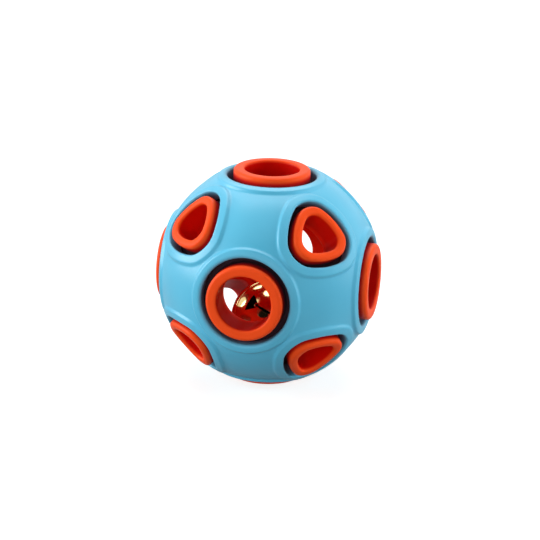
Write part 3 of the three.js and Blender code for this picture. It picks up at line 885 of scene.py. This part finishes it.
def white_table():
    """Matt white board: white to the camera where no shadow falls, and open to a look from below."""
    material, tree = new_material("white_table_matt")
    rays = node(tree, "ShaderNodeLightPath").outputs
    seen = 0.0
    for ray in SEEING_RAYS:
        seen = node(tree, "ShaderNodeMath", {0: seen, 1: rays[ray]}, operation="MAXIMUM")
    board = node(tree, "ShaderNodeBsdfDiffuse", {"Color": linear(FLOOR_BOUNCE)})
    pale = node(tree, "ShaderNodeBsdfDiffuse", {"Color": linear(FLOOR_PALE)})
    level = node(tree, "ShaderNodeMapRange",
                 {"Value": rays["Is Camera Ray"], "To Min": FLOOR_GLOW_IN_MIRRORS, "To Max": FLOOR_GLOW})
    glow = node(tree, "ShaderNodeEmission", {"Strength": level})
    shown = node(tree, "ShaderNodeAddShader", {0: pale, 1: glow})
    top = node(tree, "ShaderNodeMixShader", {0: seen, 1: board, 2: shown})
    under = node(tree, "ShaderNodeNewGeometry").outputs["Backfacing"]
    clear = node(tree, "ShaderNodeBsdfTransparent")
    board_or_clear = node(tree, "ShaderNodeMixShader", {0: under, 1: top, 2: clear})
    node(tree, "ShaderNodeOutputMaterial", {"Surface": board_or_clear})
    return material


def flat_board(name, reach, place, material):
    """Flat square board that reaches that far from its middle to its edges."""
    bm = bmesh.new()
    bmesh.ops.create_grid(bm, x_segments=1, y_segments=1, size=reach, matrix=place)
    mesh = bpy.data.meshes.new(name)
    bm.to_mesh(mesh)
    bm.free()
    mesh.materials.append(material)
    return object_of(name, mesh)


floor = flat_board("floor", FLOOR_REACH, Matrix.Translation((0, 0, cad_box[0].z)), white_table())

# Dark cloth: a black cloth on a frame behind and above the camera, which makes the front of the room dark.
# Only mirrors show it, such as the bell through the front spout, and it takes no light from the ball.
CLOTH_PLACE = Vector((0.1, -1.2, 0.65))
CLOTH_REACH = 0.55
CLOTH_BLACK = "#181818"


def black_cloth():
    """Matt black cotton: a plain dark patch, because its weave is too fine to show in so small a mirror."""
    material, tree = new_material("black_cloth_matt")
    cotton = node(tree, "ShaderNodeBsdfDiffuse", {"Color": linear(CLOTH_BLACK)})
    node(tree, "ShaderNodeOutputMaterial", {"Surface": cotton})
    return material


cloth_turn = CLOTH_PLACE.to_track_quat("Z", "Y").to_matrix().to_4x4()
cloth = flat_board("dark_flag", CLOTH_REACH, Matrix.Translation(CLOTH_PLACE) @ cloth_turn, black_cloth())
cloth.visible_camera = False
cloth.visible_diffuse = False
cloth.visible_shadow = False

# Studio light: a wide soft lamp over the back, one at each side and a weaker one in front, in a pale room.
# The room is white to the camera and to mirrors, and dimmer as a light. Mirrors show two of the lamps.
LAMPS = {  # name: place and width in metres, watts, and whether mirrors show it
    "top_lamp": ((-0.14, 0.5, 1.15), 1.2, 13.5, True),
    "right_lamp": ((1.12, 0.42, 0.16), 0.8, 16.0, False),
    "left_lamp": ((-1.13, -0.26, 0.27), 0.8, 12.5, True),
    "front_lamp": ((0.0, -1.19, 0.08), 0.9, 10.5, False),
}
ROOM_WHITE = "#ffffff"
ROOM_STRENGTH = 0.15

for name, (place, width, watts, in_mirrors) in LAMPS.items():
    light = bpy.data.lights.new(name, "AREA")
    light.size = width
    light.energy = watts
    lamp = object_of(name, light)
    lamp.location = place
    lamp.rotation_mode = "QUATERNION"
    lamp.rotation_quaternion = (-Vector(place)).to_track_quat("-Z", "Y")
    lamp.visible_glossy = in_mirrors
world = bpy.data.worlds.new("room")
bpy.context.scene.world = world
world.use_nodes = True
world.node_tree.nodes.clear()
rays = node(world.node_tree, "ShaderNodeLightPath").outputs
strength = ROOM_STRENGTH
for ray in SEEING_RAYS:
    strength = node(world.node_tree, "ShaderNodeMath", {0: strength, 1: rays[ray]}, operation="MAXIMUM")
room = node(world.node_tree, "ShaderNodeBackground", {"Color": linear(ROOM_WHITE), "Strength": strength})
node(world.node_tree, "ShaderNodeOutputWorld", {"Surface": room})

# Camera: a long lens from the front, a little to the right and above, turned slightly about its own axis.
# It is placed so that the shell has the size in the image, and the place, that are given here in pixels.
CAMERA_AZIMUTH = math.radians(12.9)
CAMERA_ELEVATION = math.radians(18.4)
CAMERA_ROLL = math.radians(1.8)
CAMERA_DISTANCE = 0.98
IMAGE_PIXELS = 540
BALL_PIXELS = 110.1  # the shell's radius in the image
BALL_MIDDLE_PIXEL = (269.0, 271.0)

to_camera = Vector((math.sin(CAMERA_AZIMUTH) * math.cos(CAMERA_ELEVATION),
                    -math.cos(CAMERA_AZIMUTH) * math.cos(CAMERA_ELEVATION), math.sin(CAMERA_ELEVATION)))
camera_turn = Matrix.Rotation(CAMERA_ROLL, 3, to_camera) @ to_camera.to_track_quat("Z", "Y").to_matrix()
pixel = SHELL_RADIUS / BALL_PIXELS
camera_offset = Vector(((IMAGE_PIXELS / 2 - BALL_MIDDLE_PIXEL[0]) * pixel,
                        (BALL_MIDDLE_PIXEL[1] - IMAGE_PIXELS / 2) * pixel, CAMERA_DISTANCE))
camera = object_of("camera", bpy.data.cameras.new("camera"))
camera.location = camera_turn @ camera_offset
camera.rotation_mode = "QUATERNION"
camera.rotation_quaternion = camera_turn.to_quaternion()
camera.data.lens = camera.data.sensor_width * CAMERA_DISTANCE / (IMAGE_PIXELS * pixel)
bpy.context.scene.camera = camera
bpy.context.scene.view_settings.view_transform = "Standard"
